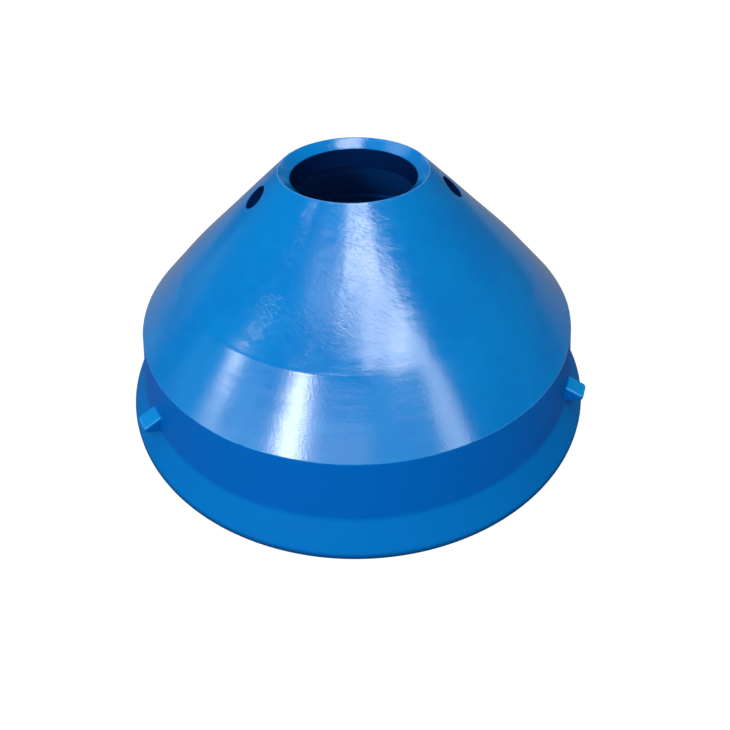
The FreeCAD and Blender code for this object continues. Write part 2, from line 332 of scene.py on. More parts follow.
class SurfaceStore:
    """Gathers the points, quads and triangles of one surface."""

    def __init__(self) -> None:
        """Starts empty."""
        self.points: list[Array] = []
        self.skins: list[Array] = []
        self.quads: list[Array] = []
        self.triangles: list[Array] = []
        self.count = 0

    def add(self, points: Array, skin: Array | float) -> Array:
        """Adds points.

        Args:
            points: Places, one a row.
            skin: Share of cast skin of each point, or of all of them.

        Returns:
            The points' numbers.
        """
        numbers = np.arange(self.count, self.count + len(points))
        self.points.append(points)
        self.skins.append(np.broadcast_to(skin, len(points)).astype(float))
        self.count += len(points)
        return numbers

    def band(self, outer: Array, inner: Array) -> None:
        """Joins two closed rings of equal length by quads: each step of one to the same step of the other."""
        ahead_outer, ahead_inner = np.roll(outer, -1), np.roll(inner, -1)
        self.quads.append(np.stack([outer, ahead_outer, ahead_inner, inner], axis=-1))

    def fan(self, ring: Array, centre: int) -> None:
        """Closes a ring by triangles to one point."""
        self.triangles.append(np.stack([ring, np.roll(ring, -1), np.full_like(ring, centre)], axis=-1))

    def next_ring(self, ring: Array, points: Array, skin: float = 0.0) -> Array:
        """Adds a ring of points and joins it to the one before.

        Args:
            ring: Numbers of the ring before.
            points: The new ring's places.
            skin: The new ring's share of cast skin.

        Returns:
            The new ring's numbers.
        """
        numbers = self.add(points, skin)
        self.band(ring, numbers)
        return numbers

    def close_in(
        self, wall: Wall, border: Array, outline: Array, shares: tuple[float, ...], skin: Skin
    ) -> Array:
        """Joins a window's border to an outline by rings, in straight lines of azimuth and height.

        Args:
            wall: The wall that the rings lie on.
            border: Numbers of the window's border points.
            outline: The outline's places, in the border's order.
            shares: How far each ring has come, from 0 on the border to 1 on the outline.
            skin: What the rings' surface is.

        Returns:
            The last ring's numbers.
        """
        azimuths = azimuths_of(outline)
        edge = self.all_points()[border]
        turns = azimuths + turn_between(azimuths_of(edge), azimuths)
        ring = border
        for share in shares:
            azimuth = turns + (azimuths - turns) * share
            height = edge[:, 2] + (outline[:, 2] - edge[:, 2]) * share
            ring = self.next_ring(ring, wall.at(azimuth, height), skin.value)
        return ring

    def all_points(self) -> Array:
        """Gives every point gathered so far."""
        return np.concatenate(self.points)

    def all_skins(self) -> Array:
        """Gives every point's share of cast skin."""
        return np.concatenate(self.skins)


@dataclass(frozen=True)
class Window:
    """A rectangle of the grid that a ring patch replaces, with its rows listed from the top down."""

    rows: Array
    columns: Array

    def border(self, columns_in_all: int) -> Array:
        """Walks the window's border: along the top, down the far side, back below, up the near side.

        Args:
            columns_in_all: How many columns the grid has.

        Returns:
            The numbers of the grid points on the border, each once.
        """
        rows, columns = self.rows, self.columns % columns_in_all
        numbers = rows[:, None] * columns_in_all + columns[None, :]
        return np.concatenate([numbers[0, :-1], numbers[:-1, -1], numbers[-1, :0:-1], numbers[:0:-1, 0]])

    def square(self) -> Array:
        """Lays the border's points out on a square from -1 to 1.

        Returns:
            Each point as (across, up), in the border's order.
        """
        across = np.linspace(-1.0, 1.0, len(self.columns))
        up = np.linspace(1.0, -1.0, len(self.rows))
        top = np.stack([across, np.ones_like(across)], axis=-1)
        far = np.stack([np.ones_like(up), up], axis=-1)
        low = np.stack([across, -np.ones_like(across)], axis=-1)
        near = np.stack([-np.ones_like(up), up], axis=-1)
        return np.concatenate([top[:-1], far[:-1], low[:0:-1], near[:0:-1]])

    def cells(self, columns_in_all: int) -> Array:
        """Lists the grid cells in the window, by the number of each cell's first point.

        Args:
            columns_in_all: How many columns the grid has.

        Returns:
            The cells' numbers, a row of cells in each row.
        """
        low = min(self.rows[0], self.rows[-1])
        high = max(self.rows[0], self.rows[-1])
        columns = self.columns[:-1] % columns_in_all
        rows, columns = np.meshgrid(np.arange(low, high), columns, indexing="ij")
        return rows * columns_in_all + columns


@dataclass(frozen=True)
class LiftingHole:
    """A round hole square through the upper cone."""

    azimuth: float
    outside: Wall
    inside: Wall
    mouth_radius: float = 0.246
    bore: float = 0.0335
    lip: float = 0.0025
    face_rings: tuple[float, ...] = (0.3, 0.55, 0.75, 0.9, 1.0)
    lining_rings: tuple[float, ...] = (0.03, 0.25, 0.5, 0.75, 1.0)

    def frame(self) -> tuple[Array, Array, Array, Array]:
        """Works out the hole's own frame.

        Returns:
            The middle of the mouth, and the directions out of the hole, across it and up the cone.
        """
        slope = self.outside.slope()
        middle = self.outside.point(self.azimuth, self.mouth_radius)
        around = np.array([math.cos(self.azimuth), math.sin(self.azimuth), 0.0])
        across = np.array([-math.sin(self.azimuth), math.cos(self.azimuth), 0.0])
        up = around * slope[0] + np.array([0.0, 0.0, slope[1]])
        return middle, np.cross(across, up), across, up

    def pierce(self, wall: Wall, angles: Array, radius: float) -> Array:
        """Finds where the hole meets a cone: each line along the hole, moved until it is on the wall.

        Args:
            wall: The cone that the hole goes through.
            angles: Directions round the hole.
            radius: Radius of the cylinder, round the hole's axis.

        Returns:
            One point for each angle.
        """
        middle, out, across, up = self.frame()
        start = middle + radius * (np.cos(angles)[:, None] * across + np.sin(angles)[:, None] * up)
        slope = wall.slope()
        points = start
        for _ in range(6):
            short = wall.radius_at(points[:, 2]) - np.hypot(points[:, 0], points[:, 1])
            points = points + (short * slope[1])[:, None] * out
        return points

    def build(
        self, store: SurfaceStore, border: Array, inner_border: Array, squares: Array
    ) -> None:
        """Fills the window on each face of the wall by rings that close in on the hole, and lines the hole.

        On each face the rings go in a straight line, in azimuth and height, from the window's square border
        to the hole's outline. The lips are quarter circles and the lining runs straight between them.

        Args:
            store: Where the surface is gathered.
            border: Numbers of the outside window's border points.
            inner_border: Numbers of the inside window's border points.
            squares: The border on a square from -1 to 1.
        """
        angles = np.arctan2(squares[:, 1], squares[:, 0])
        _, out, _, _ = self.frame()
        outline = self.pierce(self.outside, angles, self.bore + self.lip)
        ring = store.close_in(self.outside, border, outline, self.face_rings, Skin.CAST)
        for swing in np.radians([22.5, 45.0, 67.5, 90.0]):
            spread = self.lip * (1.0 - math.sin(swing))
            sunk = self.lip * (1.0 - math.cos(swing))
            points = self.pierce(self.outside, angles, self.bore + spread) - out * sunk
            ring = store.next_ring(ring, points)
        top = self.pierce(self.outside, angles, self.bore) - out * self.lip
        end = self.pierce(self.inside, angles, self.bore)
        for share in self.lining_rings:
            ring = store.next_ring(ring, top + (end - top) * share)
        outline = self.pierce(self.inside, angles, self.bore + self.lip)
        inner = store.close_in(self.inside, inner_border, outline, self.face_rings, Skin.TRUE)
        store.band(ring, inner)


@dataclass(frozen=True)
class Lug:
    """A cast block on the skirt, with its top and its underside drawing together towards the tip."""

    azimuth: float
    skirt: Wall
    half_width: float = 0.024
    root: float = 0.5815
    tip: float = 0.6435
    root_top: float = 0.146
    root_bottom: float = 0.086
    tip_top: float = 0.127
    tip_bottom: float = 0.113
    edge_round: float = 0.0032
    tip_corner_round: float = 0.009
    root_round: float = 0.0035

    def drawn_in(self, reach: Array, rounding: float) -> Array:
        """Gives how far a quarter circle that ends at the tip has drawn a side in, at a reach."""
        into = np.clip(reach - (self.tip - rounding), 0.0, rounding)
        return rounding - np.sqrt(rounding**2 - into**2)

    def outline(self, reach: Array | float, squares: Array, grow: float) -> Array:
        """Gives the lug's rounded outline at a reach: a rectangle with its corners pulled onto arcs.

        Args:
            reach: Distance from the mantle's axis, along the lug, of each point or of all.
            squares: The outline's points on a square from -1 to 1.
            grow: How far the outline stands outside the lug's own.

        Returns:
            Places as (along, across, up).
        """
        reach = np.broadcast_to(reach, len(squares)).astype(float)
        share = (reach - self.root) / (self.tip - self.root)
        thinner = self.drawn_in(reach, self.edge_round)
        top = self.root_top + (self.tip_top - self.root_top) * share + grow - thinner
        bottom = self.root_bottom + (self.tip_bottom - self.root_bottom) * share - grow + thinner
        half_width = self.half_width + grow - self.drawn_in(reach, self.tip_corner_round)
        half = np.stack([half_width, (top - bottom) / 2], axis=-1)
        crowded = squares * 0.45 + 0.55 * np.sin(squares * math.pi / 2)
        flat = crowded * half
        rounding = max(self.edge_round + grow, 0.0008)
        core = np.clip(flat, rounding - half, half - rounding)
        away = flat - core
        away /= np.maximum(np.linalg.norm(away, axis=1, keepdims=True), 1e-9)
        drawn = core + away * rounding
        return np.stack([reach, drawn[:, 0], drawn[:, 1] + (top + bottom) / 2], axis=-1)

    def placed(self, local: Array) -> Array:
        """Turns places given as (along, across, up) to the lug's azimuth."""
        cosine, sine = math.cos(self.azimuth), math.sin(self.azimuth)
        along, across, up = local.T
        return np.stack([along * cosine - across * sine, along * sine + across * cosine, up], axis=-1)

    def on_skirt(self, squares: Array, grow: float, proud: float) -> Array:
        """Finds the outline where it stands a set height proud of the skirt, by moving out along the lug.

        Args:
            squares: The outline's points on a square from -1 to 1.
            grow: How far the outline stands outside the lug's own.
            proud: How far it stands out of the skirt.

        Returns:
            Places as (along, across, up).
        """
        reach = np.full(len(squares), self.skirt.low[0])
        for _ in range(8):
            local = self.outline(reach, squares, grow)
            radius = self.skirt.radius_at(local[:, 2]) + proud
            reach = np.sqrt(radius**2 - local[:, 1] ** 2)
        return self.outline(reach, squares, grow)

    def build(self, store: SurfaceStore, border: Array, squares: Array) -> None:
        """Fills the window by rings: over the skirt, up a hollow root, along the lug and over its tip.

        Args:
            store: Where the surface is gathered.
            border: Numbers of the window's border points.
            squares: The border on a square from -1 to 1.
        """
        foot = self.placed(self.on_skirt(squares, self.root_round, 0.0))
        ring = store.close_in(self.skirt, border, foot, (0.4, 0.75, 1.0), Skin.CAST)
        for swing in np.radians([30.0, 60.0, 90.0]):
            grow = self.root_round * (1.0 - math.sin(swing))
            proud = self.root_round * (1.0 - math.cos(swing))
            ring = store.next_ring(ring, self.placed(self.on_skirt(squares, grow, proud)), 0.5)
        start = self.on_skirt(squares, 0.0, self.root_round)
        turn_start = self.tip - self.tip_corner_round
        for share in (0.06, 0.35, 0.65, 0.94, 1.0):
            reach = start[:, 0] + (turn_start - start[:, 0]) * share
            ring = store.next_ring(ring, self.placed(self.outline(reach, squares, 0.0)), 0.3)
        for swing in np.radians([15.0, 30.0, 40.0, 48.0, 56.0, 66.0, 78.0, 90.0]):
            reach = turn_start + self.tip_corner_round * math.sin(swing)
            ring = store.next_ring(ring, self.placed(self.outline(reach, squares, 0.0)))
        face = self.outline(self.tip, squares, 0.0)
        middle = face.mean(axis=0)
        for share in (0.15, 0.6):
            ring = store.next_ring(ring, self.placed(face + (middle - face) * share))
        centre = store.add(self.placed(middle[None]), 0.0)
        store.fan(ring, int(centre[0]))


@dataclass(frozen=True)
class CastWaves:
    """The slow unevenness of a cast and ground surface: smoothed random lattices added together."""

    seed: int = 4
    nodes: int = 40
    offset: float = 19.5
    lattices: tuple[Pair, ...] = ((0.150, 0.00055), (0.060, 0.00020))

    def height(self, points: Array) -> Array:
        """Adds the lattices: each blends random values at its eight nearest nodes by smooth weights.

        Args:
            points: Places, one a row.

        Returns:
            How far each place stands out.
        """
        random = np.random.default_rng(self.seed)
        total = np.zeros(len(points))
        for cell, amplitude in self.lattices:
            values = random.uniform(-1.0, 1.0, (self.nodes,) * 3)
            scaled = points / cell + self.offset
            base = np.floor(scaled).astype(int)
            part = scaled - base
            part = part * part * (3.0 - 2.0 * part)
            blend = np.zeros(len(points))
            for corner in np.ndindex(2, 2, 2):
                steps = np.array(corner)
                weight = np.prod(np.where(steps == 1, part, 1.0 - part), axis=1)
                node = (base + steps) % self.nodes
                blend += weight * values[node[:, 0], node[:, 1], node[:, 2]]
            total += amplitude * blend
        return total


@dataclass(frozen=True)
class Crease:
    """The corner between the upper cone and the band: a fine crest on one side, ground away on the other."""

    place: Pair
    turn: float
    soft_from: float = math.radians(-103.0)
    soft_to: float = math.radians(-92.0)
    soft_width: float = 0.022
    crest_width: float = 0.0030
    crest_height: float = 0.00016
    crest_from: float = math.radians(-150.0)
    crest_to: float = math.radians(-128.0)
    reach: float = 0.2

    def height(self, points: Array) -> Array:
        """Rounds the corner off by a hyperbola that meets both walls, or adds a crest, which is a bell curve.

        Args:
            points: Places, one a row.

        Returns:
            How far each place stands out.
        """
        radius = np.hypot(points[:, 0], points[:, 1])
        away = np.hypot(radius - self.place[0], points[:, 2] - self.place[1])
        azimuth = azimuths_of(points)
        soft = smooth_share(azimuth, self.soft_from, self.soft_to)
        crested = smooth_share(azimuth, self.crest_from, self.crest_to)
        ground = math.tan(self.turn) / 2 * (np.sqrt(away**2 + self.soft_width**2) - away)
        crest = self.crest_height * np.exp(-((away / self.crest_width) ** 2)) * crested
        return np.where(away < self.reach, crest * (1.0 - soft) - ground * soft, 0.0)


@dataclass(frozen=True)
class Spot:
    """A small round lump, or a pit where its height is below 0."""

    azimuth: float
    radius: float
    wall: Wall
    half_width: float
    rise: float

    def height(self, points: Array) -> Array:
        """Gives a bell curve of the distance from the spot's middle."""
        square = ((points - self.wall.point(self.azimuth, self.radius)) ** 2).sum(axis=1)
        return self.rise * np.exp(-square / self.half_width**2)


@dataclass
class Mantle:
    """The casting: its grid, its two lifting holes and its three lugs."""

    sizes: Sizes = Sizes()
    hole_azimuths: tuple[float, ...] = (math.radians(-5.0), math.radians(185.0))
    lug_azimuths: tuple[float, ...] = (math.radians(90.0), math.radians(210.0), math.radians(330.0))
    waves: CastWaves = CastWaves()
    columns: int = 288
    lug_window: float = math.radians(4.4)
    lug_columns: int = 33
    lug_span: Pair = (0.0885, 0.1585)
    hole_window: float = math.radians(12.6)
    hole_columns: int = 29
    outside_span: Pair = (-0.040, 0.041)
    inside_span: Pair = (-0.085, -0.014)
    store: SurfaceStore = field(default_factory=SurfaceStore)

    def __post_init__(self) -> None:
        """Places the lifting holes, the lugs and the small forms of the skin on their walls."""
        cone, band = self.sizes.cone(), self.sizes.band()
        inside = cone.moved_in(self.sizes.cone_wall)
        self.section = Section(self.sizes.corners())
        self.holes = [LiftingHole(azimuth, cone, inside) for azimuth in self.hole_azimuths]
        self.lugs = [Lug(azimuth, self.sizes.skirt()) for azimuth in self.lug_azimuths]
        turn = math.acos(float(cone.slope() @ band.slope()))
        self.forms = [
            self.waves,
            Crease(self.sizes.band_top, turn),
            Spot(math.radians(-127.7), 0.2207, cone, 0.0065, 0.0015),
            Spot(math.radians(-113.0), 0.520, band, 0.003, -0.0005),
        ]

    def azimuths(self) -> Array:
        """Spaces the grid's columns round the mantle, closer together over each lug and each hole.

        Returns:
            The columns' azimuths, from 0 upwards.
        """
        coarse = np.linspace(0.0, 2 * math.pi, self.columns, endpoint=False)
        kept = coarse
        fine = []
        for feature, half, count in self.windows():
            middle = feature % (2 * math.pi)
            distance = np.abs(turn_between(kept, middle))
            kept = kept[distance > half + math.pi / self.columns / 2]
            fine.append((middle + np.linspace(-half, half, count)) % (2 * math.pi))
        return np.sort(np.concatenate([kept, *fine]))

    def windows(self) -> list[tuple[float, float, int]]:
        """Lists the azimuth, half angle and column count of each lug's and each hole's window."""
        lugs = [(lug.azimuth, self.lug_window, self.lug_columns) for lug in self.lugs]
        holes = [(hole.azimuth, self.hole_window, self.hole_columns) for hole in self.holes]
        return lugs + holes

    def build(self) -> bpy.types.Object:
        """Builds the casting's mesh: the grid with its windows left out, the patches, and the small forms.

        Returns:
            The finished object, smooth shaded.
        """
        rows, skins = self.section.rows()
        azimuths = self.azimuths()
        count = len(azimuths)
        grid = rows[:, None, :1] * np.stack([np.cos(azimuths), np.sin(azimuths)], axis=-1)[None]
        heights = np.broadcast_to(rows[:, 1][:, None, None], (len(rows), count, 1))
        points = np.concatenate([grid, heights], axis=-1).reshape(-1, 3)
        self.store.add(points, np.repeat(skins, count))
        opened = np.zeros(len(rows) * count, dtype=bool)
        for lug in self.lugs:
            window = self.window(rows, azimuths, lug.azimuth, self.lug_window, self.lug_span, lug.skirt)
            opened[window.cells(count).ravel()] = True
            lug.build(self.store, window.border(count), window.square())
        for hole in self.holes:
            height = hole.frame()[0][2]
            faces = ((self.outside_span, hole.outside), (self.inside_span, hole.inside))
            windows = [
                self.window(rows, azimuths, hole.azimuth, self.hole_window, height + np.array(span), wall)
                for span, wall in faces
            ]
            outer, inner = self.matched(windows)
            opened[outer.cells(count).ravel()] = True
            opened[inner.cells(count).ravel()] = True
            hole.build(self.store, outer.border(count), inner.border(count), outer.square())
        row, column = np.meshgrid(np.arange(len(rows)), np.arange(count), indexing="ij")
        after_row, after_column = (row + 1) % len(rows), (column + 1) % count
        steps = ((row, column), (row, after_column), (after_row, after_column), (after_row, column))
        cells = np.stack([down * count + along for down, along in steps], axis=-1).reshape(-1, 4)
        self.store.quads.insert(0, cells[~opened])
        return self.finish()

    @staticmethod
    def window(
        rows: Array, azimuths: Array, middle: float, half: float, span: Pair | Array, wall: Wall
    ) -> Window:
        """Picks the grid's rows on a wall between two heights, and its columns round an azimuth.

        Args:
            rows: The grid's rows, as (radius, height).
            azimuths: The grid's columns.
            middle: Azimuth of the window's middle.
            half: Half the window's angle.
            span: The window's lowest and highest height.
            wall: The wall that the rows lie on.

        Returns:
            The window.
        """
        off = np.abs(rows[:, 0] - wall.radius_at(rows[:, 1]))
        inside = (off < 1e-4) & (rows[:, 1] > span[0]) & (rows[:, 1] < span[1])
        numbers = np.flatnonzero(inside)
        numbers = numbers[np.argsort(-rows[numbers, 1])]
        distance = turn_between(azimuths, middle)
        columns = np.flatnonzero(np.abs(distance) < half + 1e-6)
        columns = columns[np.argsort(distance[columns])]
        return Window(numbers, columns)

    @staticmethod
    def matched(windows: list[Window]) -> list[Window]:
        """Trims the windows with more rows, at both ends in turn, until all have the same number.

        Args:
            windows: The windows.

        Returns:
            The trimmed windows, in the same order.
        """
        wanted = min(len(window.rows) for window in windows)
        trimmed = []
        for window in windows:
            rows = window.rows
            while len(rows) > wanted:
                rows = rows[1:] if len(rows) % 2 else rows[:-1]
            trimmed.append(Window(rows, window.columns))
        return trimmed

    def finish(self) -> bpy.types.Object:
        """Turns the gathered surface into a mesh object, and lets the small forms move its cast skin.

        Returns:
            The object.
        """
        points, skins = self.store.all_points(), self.store.all_skins()
        quads = np.concatenate(self.store.quads)
        triangles = np.concatenate(self.store.triangles)
        mesh = mesh_from(points, quads, triangles, NODE + "_casting")
        normals = np.empty(len(mesh.vertices) * 3, dtype=np.float32)
        mesh.vertices.foreach_get("normal", normals)
        outward = normals.reshape(-1, 3).astype(float)
        rise = sum(form.height(points) for form in self.forms)
        moved = points + outward * (rise * skins)[:, None]
        mesh.vertices.foreach_set("co", moved.astype(np.float32).ravel())
        mesh.update()
        return add_object(NODE + "_casting", mesh)


def mesh_from(points: Array, quads: Array, triangles: Array, name: str) -> bpy.types.Mesh:
    """Makes a smooth mesh from arrays.

    Args:
        points: Places, one a row.
        quads: Four point numbers a row.
        triangles: Three point numbers a row.
        name: The mesh's name.

    Returns:
        The mesh, with its faces turned outwards.
    """
    mesh = bpy.data.meshes.new(name)
    corners = np.concatenate([quads.ravel(), triangles.ravel()])
    starts = np.concatenate([np.arange(len(quads)) * 4, len(quads) * 4 + np.arange(len(triangles)) * 3])
    mesh.vertices.add(len(points))
    mesh.vertices.foreach_set("co", points.astype(np.float32).ravel())
    mesh.loops.add(len(corners))
    mesh.loops.foreach_set("vertex_index", corners.astype(np.int32))
    mesh.polygons.add(len(starts))
    mesh.polygons.foreach_set("loop_start", starts.astype(np.int32))
    mesh.polygons.foreach_set("use_smooth", np.ones(len(starts), dtype=bool))
    mesh.update(calc_edges=True)
    mesh.validate()
    faces = bmesh.new()
    faces.from_mesh(mesh)
    bmesh.ops.recalc_face_normals(faces, faces=faces.faces)
    faces.to_mesh(mesh)
    faces.free()
    return mesh


class Value:
    """A number socket that takes part in Python sums: each operator adds one Math node."""

    def __init__(self, tree: Tree, socket: Socket) -> None:
        """Wraps a socket.

        Args:
            tree: The node tree that the socket is in.
            socket: An output that gives a number.
        """
        self.tree = tree
        self.socket = socket

    def _math(self, operation: str, *terms: "Value | float") -> "Value":
        """Adds a Math node over some terms and gives its result."""
        node = add_node(self.tree, "ShaderNodeMath", {"operation": operation}, dict(enumerate(terms)))
        return Value(self.tree, node.outputs[0])

    def __add__(self, other: "Value | float") -> "Value":
        """Adds."""
        return self._math("ADD", self, other)

    def __radd__(self, other: float) -> "Value":
        """Adds to a plain number."""
        return self._math("ADD", other, self)

    def __sub__(self, other: "Value | float") -> "Value":
        """Takes away."""
        return self._math("SUBTRACT", self, other)

    def __rsub__(self, other: float) -> "Value":
        """Takes away from a plain number."""
        return self._math("SUBTRACT", other, self)

    def __mul__(self, other: "Value | float") -> "Value":
        """Multiplies."""
        return self._math("MULTIPLY", self, other)

    def __rmul__(self, other: float) -> "Value":
        """Multiplies a plain number."""
        return self._math("MULTIPLY", other, self)

    def root(self) -> "Value":
        """Takes the square root."""
        return self._math("SQRT", self)

    def larger(self, other: "Value | float") -> "Value":
        """Gives the larger of two numbers."""
        return self._math("MAXIMUM", self, other)

    def bearing_of(self, other: "Value") -> "Value":
        """Gives the angle of the direction whose rise is this number and whose run is the other."""
        return self._math("ARCTAN2", self, other)

    def size(self) -> "Value":
        """Drops the sign."""
        return self._math("ABSOLUTE", self)

    def ramp(self, low: float, high: float) -> "Value":
        """Goes smoothly from 0 at the low value to 1 at the high one.

        Args:
            low: The number that gives 0.
            high: The number that gives 1, which may be the smaller of the two.

        Returns:
            The number from 0 to 1.
        """
        node = add_node(
            self.tree,
            "ShaderNodeMapRange",
            {"interpolation_type": "SMOOTHSTEP"},
            {"Value": self, "From Min": low, "From Max": high},
        )
        return Value(self.tree, node.outputs[0])

    def past(self, mark: float, margins: Pair) -> "Value":
        """Goes smoothly from 0 to 1 between two margins from a mark, in their order."""
        return self.ramp(mark + margins[0], mark + margins[1])


def add_node(
    tree: Tree,
    kind: str,
    settings: dict[str, object] | None = None,
    inputs: dict[str | int, object] | None = None,
) -> bpy.types.Node:
    """Adds a node, sets it up, then gives its sockets their values or links.

    Args:
        tree: The node tree.
        kind: The node's type.
        settings: Properties of the node itself, such as a Math node's operation.
        inputs: Values or sockets by socket name or number.

    Returns:
        The node.
    """
    node = tree.nodes.new(kind)
    for name, value in (settings or {}).items():
        setattr(node, name, value)
    for key, value in (inputs or {}).items():
        socket = node.inputs[key]
        source = value.socket if isinstance(value, Value) else value
        if isinstance(source, Socket):
            tree.links.new(source, socket)
        else:
            socket.default_value = source
    return node


def mixed(tree: Tree, factor: Value | float, first: object, second: object) -> Socket:
    """Blends two colours.

    Args:
        tree: The node tree.
        factor: The second colour's share.
        first: A colour, or a socket that gives one.
        second: The other colour.

    Returns:
        The blend's socket.
    """
    node = add_node(tree, "ShaderNodeMix", {"data_type": "RGBA"}, {0: factor, 6: first, 7: second})
    return node.outputs[2]


def vector_node(tree: Tree, operation: str, *terms: object) -> bpy.types.Node:
    """Adds a Vector Math node over some terms."""
    return add_node(tree, "ShaderNodeVectorMath", {"operation": operation}, dict(enumerate(terms)))


def lies_along(tree: Tree, place: Socket, axis: object) -> Value:
    """Gives how far a place lies along an axis, as their dot product."""
    return Value(tree, vector_node(tree, "DOT_PRODUCT", place, axis).outputs[1])


def emptied_tree(owner: bpy.types.ID) -> Tree:
    """Switches on the nodes of a material or a world, and clears them."""
    owner.use_nodes = True
    owner.node_tree.nodes.clear()
    return owner.node_tree


@dataclass(frozen=True)
class Grain:
    """A random grain: how fine it is, how many finer layers it has, and how strong and bent they are."""

    scale: float
    detail: float
    roughness: float
    distortion: float = 0.0

    def over(self, tree: Tree, place: Socket) -> Value:
        """Adds the grain as a noise texture.

        Args:
            tree: The node tree.
            place: The coordinates that it follows.

        Returns:
            Its value, about 0.5 on average.
        """
        inputs = {
            "Vector": place,
            "Scale": self.scale,
            "Detail": self.detail,
            "Roughness": self.roughness,
            "Distortion": self.distortion,
        }
        node = add_node(tree, "ShaderNodeTexNoise", {"noise_dimensions": "3D"}, inputs)
        return Value(tree, node.outputs[0])


@dataclass(frozen=True)
class Gloss:
    """How the enamel shines: its roughness and the strength of its reflection."""

    name: str
    roughness: float
    reflection: float


@dataclass(frozen=True)
class Sag:
    """A place where the enamel has run and wrinkled more than elsewhere."""

    azimuth: float
    height: float
    half_angle: float
    half_height: float
    strength: float

    def share(self, azimuth: Value, height: Value) -> Value:
        """Gives the sag's strength at its middle, falling smoothly to 0 at its elliptical outline.

        Args:
            azimuth: Angle round the mantle's axis.
            height: Height above the foot's face.

        Returns:
            The strength at each place.
        """
        across = (azimuth - self.azimuth) * (1.0 / self.half_angle)
        up = (height - self.height) * (1.0 / self.half_height)
        return (across * across + up * up).ramp(1.0, 0.0) * self.strength


